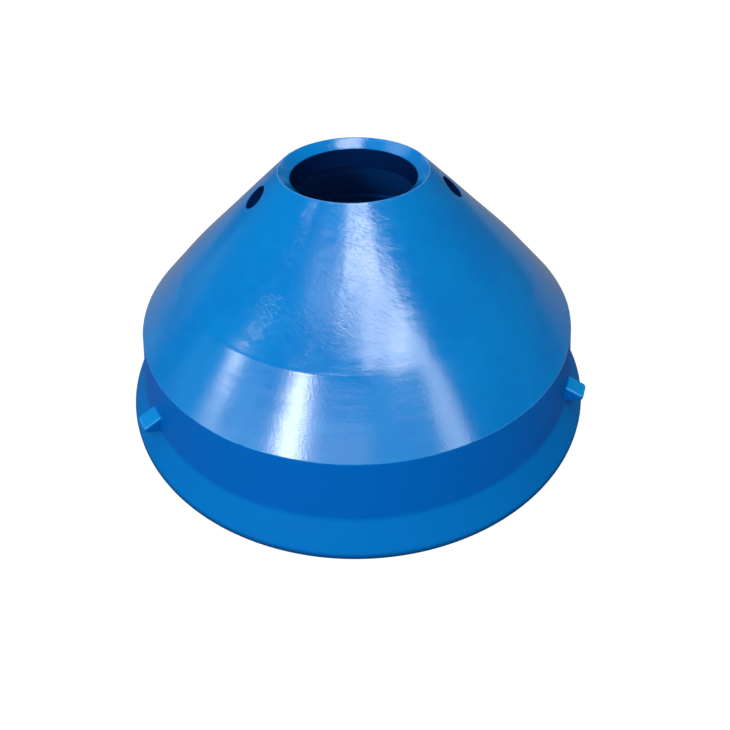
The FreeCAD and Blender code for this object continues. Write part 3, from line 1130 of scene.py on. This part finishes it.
@dataclass(frozen=True)
class Enamel:
    """Blue enamel over a cast and ground surface: glossy on the crushing faces, duller below and inside."""

    sizes: Sizes
    holes: tuple[LiftingHole, ...]
    lugs: tuple[Lug, ...]
    cone_colour: Colour = (0.0004, 0.130, 0.375, 1.0)
    thick_colour: Colour = (0.0002, 0.114, 0.352, 1.0)
    # Painted shade: the skirt, under the crushing edge's overhang, takes a darker and less green blue than
    # the cone.
    skirt_shade_colour: Colour = (0.0001, 0.080, 0.330, 1.0)
    foot_colour: Colour = (0.0004, 0.098, 0.322, 1.0)
    # Painted light: the lugs' tops take a lighter blue than the skirt, for the light that falls on them.
    lug_top_light_colour: Colour = (0.002, 0.150, 0.390, 1.0)
    # Painted shade: a dark navy band along the foot's lip, where its low face lies in shade.
    lip_shade_colour: Colour = (0.0004, 0.036, 0.130, 1.0)
    # Painted light: the enamel inside is a lighter blue than outside, to brighten the dim cavity seen through
    # the bore.
    inside_lightened_colour: Colour = (0.0001, 0.125, 0.560, 1.0)
    # Painted shade: near-black blue in the pilot bore and in the lifting holes' bores.
    bore_shade_colour: Colour = (0.0002, 0.0090, 0.052, 1.0)
    # Lighter blue along the crushing edge and the lugs' top edges: part wear, part painted highlight of the
    # rounded edges.
    rubbed_and_highlit_colour: Colour = (0.008, 0.180, 0.500, 1.0)
    glossy: Gloss = Gloss("glossy", 0.14, 0.5)
    dull: Gloss = Gloss("dull", 0.5, 0.02)
    sags: tuple[Sag, ...] = (
        Sag(math.radians(-124.0), 0.440, 0.24, 0.052, 2.0),
        Sag(math.radians(-97.0), 0.510, 0.32, 0.160, 0.9),
    )
    cloud: Grain = Grain(5.0, 3.0, 0.5)
    mottle: Grain = Grain(40.0, 4.0, 0.6)
    wrinkle: Grain = Grain(165.0, 3.0, 0.6, 0.7)
    swell: Grain = Grain(34.0, 1.0, 0.5)
    brush: Grain = Grain(38.0, 1.5, 0.5)
    peel: Grain = Grain(300.0, 2.0, 0.5)
    patch: Grain = Grain(14.0, 2.0, 0.5)
    grit: Grain = Grain(200.0, 2.0, 0.6)
    arc_radius: float = 0.36
    flow_across: float = 0.36
    flow_down: Pair = (0.57, 1.19)
    stroke_length: float = 0.12
    ridge_share: float = 0.30
    thin_runs: float = 0.40
    seam_clearance: Pair = (0.02, 0.20)
    roughness_swings: Pair = (0.10, 0.08)
    run_depth: float = 0.00030
    brush_depth: float = 0.0009
    grit_depth: float = 0.00022
    swell_depth: float = 0.0004
    peel_depth: float = 0.00006
    inside_from: Pair = (-0.036, -0.052)
    bore_from: Pair = (0.5500, 0.5545)
    bore_within: Pair = (0.0030, 0.0014)
    hole_near: Pair = (0.100, 0.090)
    edge_down: Pair = (-0.0004, -0.0016)
    band_up: Pair = (-0.001, 0.001)
    cone_up: Pair = (0.002, 0.045)
    foot_down: Pair = (0.010, -0.006)
    foot_up: Pair = (0.0, 0.006)
    lip_shade_down: Pair = (0.009, -0.002)
    tones: Pair = (0.38, 0.62)
    patches: Pair = (0.38, 0.60)
    rub_and_highlight_patches: Pair = (0.30, 0.55)
    rub_and_highlight_reach: float = 0.0022
    lug_proud: Pair = (0.0020, 0.0045)
    lug_beyond: Pair = (0.3, 0.4)
    lug_sides: Pair = (0.006, 0.002)
    lug_rims: Pair = (-0.0060, -0.0015)
    lug_tip: Pair = (-0.0075, -0.0025)
    lug_depth: Pair = (0.0090, 0.0030)
    lug_rim_depth: Pair = (0.0055, 0.0020)
    lug_dullness: float = 0.6
    rub_and_highlight_share: float = 0.7

    def material(self) -> bpy.types.Material:
        """Builds the material.

        Returns:
            A material whose colour, gloss and bump follow the casting's own coordinates.
        """
        material = bpy.data.materials.new("blue_enamel")
        tree = emptied_tree(material)
        place = add_node(tree, "ShaderNodeTexCoord").outputs["Object"]
        axes = add_node(tree, "ShaderNodeSeparateXYZ", {}, {0: place})
        x, y, height = (Value(tree, socket) for socket in axes.outputs)
        radius = (x * x + y * y).root()
        azimuth = y.bearing_of(x)
        walls = [self.sizes.cone(), self.sizes.band(), self.sizes.skirt()]
        stands = [self.stands_out(wall, radius, height) for wall in walls]
        inside = (stands[0].larger(stands[1]).larger(stands[2])).ramp(*self.inside_from)
        below_edge = height.past(self.sizes.edge[1], self.edge_down)
        on_foot = height.past(self.sizes.foot_root[1], self.foot_down)
        shaded_lip = height.past(self.sizes.foot_lip, self.lip_shade_down)
        cloud = self.cloud.over(tree, place)
        mottle = self.mottle.over(tree, place)
        tone = (cloud * 0.75 + mottle * 0.25).ramp(*self.tones)
        upper = mixed(tree, tone, self.thick_colour, self.cone_colour)
        # The skirt's colour is painted shade under the overhang; the foot keeps its own blue.
        lower = mixed(tree, on_foot, self.skirt_shade_colour, self.foot_colour)
        # Painted shade along the foot's lip.
        lower = mixed(tree, shaded_lip, lower, self.lip_shade_colour)
        outside = mixed(tree, below_edge, upper, lower)
        # Lighter edges, patchy: part wear, part painted highlight.
        rubbed_and_highlit = self.near(radius, height, self.sizes.edge, self.rub_and_highlight_reach) * mottle.ramp(*self.rub_and_highlight_patches)
        proud = stands[2].ramp(*self.lug_proud) * height.past(self.sizes.foot_root[1], self.foot_up)
        # Lug tops get the lighter blue as painted light; their sides keep the skirt's colour.
        lit_lug_tops = 0.0
        for lug in self.lugs:
            top, edge = self.over_lug(tree, place, height, lug)
            lit_lug_tops = top * proud + lit_lug_tops
            rubbed_and_highlit = rubbed_and_highlit.larger(edge * proud)
        outside = mixed(tree, lit_lug_tops, outside, self.lug_top_light_colour)
        outside = mixed(tree, rubbed_and_highlit * self.rub_and_highlight_share, outside, self.rubbed_and_highlit_colour)
        # Inside, the lightened enamel stands in for the light that the cavity lacks.
        colour = mixed(tree, inside, outside, self.inside_lightened_colour)
        # Painted shade in the pilot bore and the lifting holes.
        shaded_bores = height.ramp(*self.bore_from) * radius.past(self.sizes.bore, self.bore_within)
        for hole in self.holes:
            shaded_bores = shaded_bores.larger(self.in_hole(tree, place, hole))
        colour = mixed(tree, shaded_bores, colour, self.bore_shade_colour)
        bump = self.relief(tree, place, azimuth, height)
        patchy = (mottle - 0.5) * self.roughness_swings[0] + (cloud - 0.5) * self.roughness_swings[1]
        shaders = []
        for gloss in (self.glossy, self.dull):
            inputs = {
                "Base Color": colour,
                "Roughness": gloss.roughness + patchy,
                "Normal": bump,
                "Specular IOR Level": gloss.reflection,
            }
            shaders.append(add_node(tree, "ShaderNodeBsdfPrincipled", {"label": gloss.name}, inputs))
        dulled = (below_edge - lit_lug_tops * self.lug_dullness).larger(inside).larger(shaded_bores)
        inputs = {0: dulled, 1: shaders[0].outputs[0], 2: shaders[1].outputs[0]}
        blend = add_node(tree, "ShaderNodeMixShader", {}, inputs)
        add_node(tree, "ShaderNodeOutputMaterial", {}, {0: blend.outputs[0]})
        return material

    def in_hole(self, tree: Tree, place: Socket, hole: LiftingHole) -> Value:
        """Finds a lifting hole's bore, from the square of the distance to the hole's axis.

        Args:
            tree: The node tree.
            place: The casting's own coordinates.
            hole: The lifting hole.

        Returns:
            1 within the bore and 0 outside.
        """
        middle, out, _, _ = hole.frame()
        away = vector_node(tree, "SUBTRACT", place, middle).outputs[0]
        distance = Value(tree, vector_node(tree, "LENGTH", away).outputs[1])
        reach = lies_along(tree, away, out)
        square = distance * distance - reach * reach
        rim = square.ramp((hole.bore + hole.lip * 0.7) ** 2, (hole.bore + hole.lip * 0.2) ** 2)
        return distance.ramp(*self.hole_near) * rim

    def over_lug(self, tree: Tree, place: Socket, height: Value, lug: Lug) -> tuple[Value, Value]:
        """Tells where a lug is, from distances along it and across it.

        Args:
            tree: The node tree.
            place: The casting's own coordinates.
            height: Height above the foot's face.
            lug: The lug.

        Returns:
            1 over the lug's top and 0 down its sides, and 1 along the edges of its top.
        """
        ahead = (math.cos(lug.azimuth), math.sin(lug.azimuth), 0.0)
        aside = (-ahead[1], ahead[0], 0.0)
        along, across = (lies_along(tree, place, axis) for axis in (ahead, aside))
        fall = (lug.tip_top - lug.root_top) / (lug.tip - lug.root)
        under_top = (along - lug.root) * fall + lug.root_top - height
        beside = across.size()
        over = along.ramp(*self.lug_beyond) * beside.past(lug.half_width, self.lug_sides)
        rim = beside.past(lug.half_width, self.lug_rims).larger(along.past(lug.tip, self.lug_tip))
        return over * under_top.ramp(*self.lug_depth), over * rim * under_top.ramp(*self.lug_rim_depth)

    @staticmethod
    def stands_out(wall: Wall, radius: Value, height: Value) -> Value:
        """Gives how far a place lies outside a wall, and less than 0 behind it."""
        across, up = (float(part) for part in -wall.inward())
        return (radius - wall.low[0]) * across + (height - wall.low[1]) * up

    @staticmethod
    def near(radius: Value, height: Value, corner: Pair, reach: float) -> Value:
        """Gives 1 at a corner of the section, falling to 0 at a reach from it."""
        across, up = radius - corner[0], height - corner[1]
        return (across * across + up * up).root().ramp(reach, reach * 0.4)

    def relief(self, tree: Tree, place: Socket, azimuth: Value, height: Value) -> Socket:
        """Builds the enamel's relief: runs and wrinkles on the cone, brush marks on the band, orange peel.

        Args:
            tree: The node tree.
            place: The casting's own coordinates.
            azimuth: Angle round the mantle's axis.
            height: Height above the foot's face.

        Returns:
            The bumped normal's socket.
        """
        on_cone = height.past(self.sizes.band_top[1], self.cone_up)
        along = azimuth * self.arc_radius
        across = (along - height) * self.flow_across
        down = along * self.flow_down[0] + height * self.flow_down[1]
        flow = add_node(tree, "ShaderNodeCombineXYZ", {}, {0: across, 1: down, 2: 0.0})
        wrinkle = self.wrinkle.over(tree, flow.outputs[0])
        ridges = (wrinkle - 0.5).size() * -2.0
        swell = self.swell.over(tree, place)
        inputs = {0: along * self.stroke_length, 1: height, 2: 0.0}
        strokes = add_node(tree, "ShaderNodeCombineXYZ", {}, inputs)
        brushed = self.brush.over(tree, strokes.outputs[0])
        peel = self.peel.over(tree, place)
        patches = self.patch.over(tree, place).ramp(*self.patches)
        for sag in self.sags:
            patches = patches + sag.share(azimuth, height)
        clear = (math.pi - azimuth.size()).ramp(*self.seam_clearance)
        spread = self.thin_runs + (1.0 - self.thin_runs) * patches
        runs = on_cone * spread * (ridges * self.ridge_share + wrinkle) * self.run_depth
        grit = self.grit.over(tree, place)
        on_band = (1.0 - on_cone) * height.past(self.sizes.edge[1], self.band_up)
        marks = on_band * (brushed * self.brush_depth + grit * self.grit_depth)
        depth = clear * (runs + marks) + on_cone * swell * self.swell_depth + peel * self.peel_depth
        inputs = {"Strength": 1.0, "Distance": 1.0, "Height": depth}
        return add_node(tree, "ShaderNodeBump", {}, inputs).outputs[0]


@dataclass(frozen=True)
class Softbox:
    """A soft upright lamp, sized by what it covers as seen from the mantle, in degrees.

    Bearings run to the right from straight in front of the mantle, as the camera sees it.
    """

    name: str
    left: float
    right: float
    low: float
    high: float
    radiance: float
    distance: float = 12.0
    middle_height: float = 0.4

    def build(self, camera_azimuth: float) -> bpy.types.Object:
        """Places the lamp, facing the mantle's axis.

        Args:
            camera_azimuth: The camera's azimuth, in radians.

        Returns:
            The lamp's object.
        """
        turn = camera_azimuth + math.radians((self.left + self.right) / 2)
        away = Vector((math.sin(turn), -math.cos(turn), 0.0))
        bottom, top = (self.distance * math.tan(math.radians(rise)) for rise in (self.low, self.high))
        width = 2 * self.distance * math.tan(math.radians((self.right - self.left) / 2))
        middle = away * self.distance + Vector((0, 0, self.middle_height + (bottom + top) / 2))
        return add_lamp(self.name, (width, top - bottom), self.radiance, middle, -away)


@dataclass(frozen=True)
class Ceiling:
    """A soft level lamp overhead, placed by how far it reaches each way, as the camera sees it."""

    name: str
    left: float
    right: float
    front: float
    back: float
    radiance: float
    height: float = 12.0

    def build(self, camera_azimuth: float) -> bpy.types.Object:
        """Places the lamp, facing down.

        Args:
            camera_azimuth: The camera's azimuth, in radians.

        Returns:
            The lamp's object.
        """
        away = Vector((math.sin(camera_azimuth), -math.cos(camera_azimuth), 0.0))
        across = Vector((math.cos(camera_azimuth), math.sin(camera_azimuth), 0.0))
        middle = (away * (self.front - self.back) + across * (self.right - self.left)) / 2
        middle.z = self.height
        size = (self.left + self.right, self.front + self.back)
        lamp = add_lamp(self.name, size, self.radiance, middle, Vector((0, 0, -1)))
        lamp.rotation_euler = (0.0, 0.0, camera_azimuth)
        return lamp


def add_lamp(name: str, size: Pair, radiance: float, place: Vector, facing: Vector) -> bpy.types.Object:
    """Adds a rectangular area lamp.

    Args:
        name: The lamp's name.
        size: Its width and height.
        radiance: How bright its face is, where 1 shows as white.
        place: Its middle.
        facing: The direction that it shines in.

    Returns:
        The lamp's object.
    """
    lamp = bpy.data.lights.new(name, "AREA")
    lamp.shape = "RECTANGLE"
    lamp.size, lamp.size_y = size
    lamp.energy = radiance * math.pi * size[0] * size[1]
    placed = add_object(name, lamp)
    placed.location = place
    placed.rotation_euler = facing.to_track_quat("-Z", "Y").to_euler()
    return placed


@dataclass(frozen=True)
class Viewpoint:
    """The camera: above and in front of the mantle, looking down at it.

    The focal length and the centre are in steps, of which FRAME_WIDTH make the frame's width.
    """

    azimuth: float = math.radians(-4.0)
    pitch: float = 0.6307
    distance: float = 1.7035
    target_height: float = 0.26
    roll: float = 0.0212
    focal_length: float = 608.7
    centre: Pair = (356.06, 288.39)

    def build(self) -> bpy.types.Object:
        """Builds the camera, with a little roll and the shift that the framing needs.

        Returns:
            The camera's object.
        """
        data = bpy.data.cameras.new("view")
        data.sensor_width = 36.0
        data.lens = self.focal_length * data.sensor_width / FRAME_WIDTH
        half = FRAME_WIDTH / 2
        data.shift_x = (half - self.centre[0]) / FRAME_WIDTH
        data.shift_y = (self.centre[1] - half) / FRAME_WIDTH
        away = Vector(
            (
                math.sin(self.azimuth) * math.cos(self.pitch),
                -math.cos(self.azimuth) * math.cos(self.pitch),
                math.sin(self.pitch),
            )
        )
        right = Vector((0, 0, 1)).cross(away).normalized()
        up = away.cross(right)
        tilted_right = right * math.cos(self.roll) - up * math.sin(self.roll)
        tilted_up = up * math.cos(self.roll) + right * math.sin(self.roll)
        turn = Matrix((tilted_right, tilted_up, away)).transposed().to_4x4()
        camera = add_object("view", data)
        place = Vector((0, 0, self.target_height)) + away * self.distance
        camera.matrix_world = Matrix.Translation(place) @ turn
        bpy.context.scene.camera = camera
        return camera


@dataclass(frozen=True)
class Studio:
    """The plain pale floor, the even surroundings and the soft lamps."""

    surroundings: float = 0.04
    floor_colour: Colour = (0.14, 0.14, 0.14, 1.0)
    floor_lift: float = 0.87
    mirrored_share: float = 0.06
    floor_reach: float = 14.0
    ceilings: tuple[Ceiling, ...] = (
        Ceiling("overhead", 1.5, 2.7, 2.4, -0.2, 11.5),
        Ceiling("left_overhead", 10.0, 0.6, -1.0, 7.0, 1.8),
    )
    lamps: tuple[Softbox, ...] = (
        Softbox("front_skylight", 4.0, 41.0, 47.0, 57.0, 9.5),
        Softbox("upper_skylight", -15.0, 28.0, 57.0, 66.0, 14.5),
        Softbox("middle_skylight", -8.0, 4.0, 49.5, 57.0, 5.0),
        Softbox("left_skylight", -26.0, -13.0, 57.0, 66.0, 2.2),
        Softbox("left_fill", -50.0, -33.0, 50.0, 57.0, 2.0),
        Softbox("middle_fill", -33.0, -10.0, 52.0, 58.0, 3.0),
        Softbox("left_ceiling", -60.0, -8.0, 50.0, 57.0, 0.8),
        Softbox("right_sill", 20.0, 49.0, 41.0, 49.0, 7.5),
        Softbox("right_door", 39.5, 50.5, 22.0, 41.0, 6.2),
        Softbox("front_wall", -20.0, 5.0, 22.0, 38.0, 2.1),
        Softbox("right_wall", 5.0, 39.5, 22.0, 41.0, 0.7),
        Softbox("left_window", -38.5, -28.5, 22.0, 39.0, 21.0),
        Softbox("left_curtain", -43.5, -21.0, 22.0, 39.0, 4.4),
        Softbox("far_window", -76.5, -68.5, 22.0, 31.0, 12.5),
        Softbox("far_sill", -76.5, -67.5, 15.0, 22.0, 4.0),
        Softbox("left_wall", -66.0, -45.0, 18.0, 32.0, 1.3),
        Softbox("left_high", -80.0, -70.0, 50.0, 56.0, 5.0),
        Softbox("back", 150.0, 210.0, 25.0, 58.0, 2.2),
        Softbox("left_low", -96.0, -77.0, 4.0, 17.0, 0.18),
        Softbox("left_floor", -128.0, -110.0, 1.0, 12.0, 0.14),
        Softbox("low_front", -70.0, -5.0, 8.0, 20.0, 4.5),
    )

    def build(self, viewpoint: Viewpoint) -> None:
        """Builds the floor, the world and the lamps.

        Args:
            viewpoint: The camera, whose bearing the lamps follow.
        """
        floor = add_object("floor", bpy.data.meshes.new("floor"))
        reach = self.floor_reach
        corners = [(-reach, -reach, 0), (reach, -reach, 0), (reach, reach, 0), (-reach, reach, 0)]
        floor.data.from_pydata(corners, [], [(0, 1, 2, 3)])
        floor.data.materials.append(self.floor_material())
        self.build_world()
        for lamp in self.ceilings + self.lamps:
            lamp.build(viewpoint.azimuth)

    def floor_material(self) -> bpy.types.Material:
        """Builds the floor's finish: dull, lifted to white where it is seen and a little where mirrored.

        Returns:
            The material.
        """
        material = bpy.data.materials.new("pale_floor")
        tree = emptied_tree(material)
        dull = add_node(tree, "ShaderNodeBsdfDiffuse", {}, {"Color": self.floor_colour})
        lift = add_node(tree, "ShaderNodeEmission", {}, {"Strength": self.seen(tree) * self.floor_lift})
        both = add_node(tree, "ShaderNodeAddShader", {}, {0: dull.outputs[0], 1: lift.outputs[0]})
        add_node(tree, "ShaderNodeOutputMaterial", {}, {0: both.outputs[0]})
        return material

    def seen(self, tree: Tree) -> Value:
        """Gives 1 where a surface is seen, straight or through glass, and a share where it is mirrored."""
        path = add_node(tree, "ShaderNodeLightPath")
        camera, glossy, through = (Value(tree, path.outputs[f"Is {kind} Ray"]) for kind in RAYS)
        return camera.larger(through).larger(glossy * self.mirrored_share)

    def build_world(self) -> None:
        """Builds the surroundings: an even, dim grey light that shows as white behind the mantle."""
        world = bpy.data.worlds.new("studio")
        tree = emptied_tree(world)
        strength = self.seen(tree).larger(self.surroundings)
        light = add_node(tree, "ShaderNodeBackground", {}, {"Color": WHITE, "Strength": strength})
        add_node(tree, "ShaderNodeOutputWorld", {}, {0: light.outputs[0]})
        bpy.context.scene.world = world


def main() -> None:
    """Loads the frame, builds the mantle, the studio and the camera, and logs the casting's face count."""
    logging.basicConfig(level=logging.INFO, format="%(name)s: %(message)s")
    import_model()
    bpy.context.scene.view_settings.view_transform = "Standard"
    mantle = Mantle()
    casting = mantle.build()
    enamel = Enamel(mantle.sizes, tuple(mantle.holes), tuple(mantle.lugs))
    casting.data.materials.append(enamel.material())
    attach(casting, "root")
    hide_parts(NODE)
    LOG.info("casting: %d faces", len(casting.data.polygons))
    viewpoint = Viewpoint()
    viewpoint.build()
    Studio().build(viewpoint)
    LOG.info("studio and camera are in place")


if __name__ == "__main__":
    main()
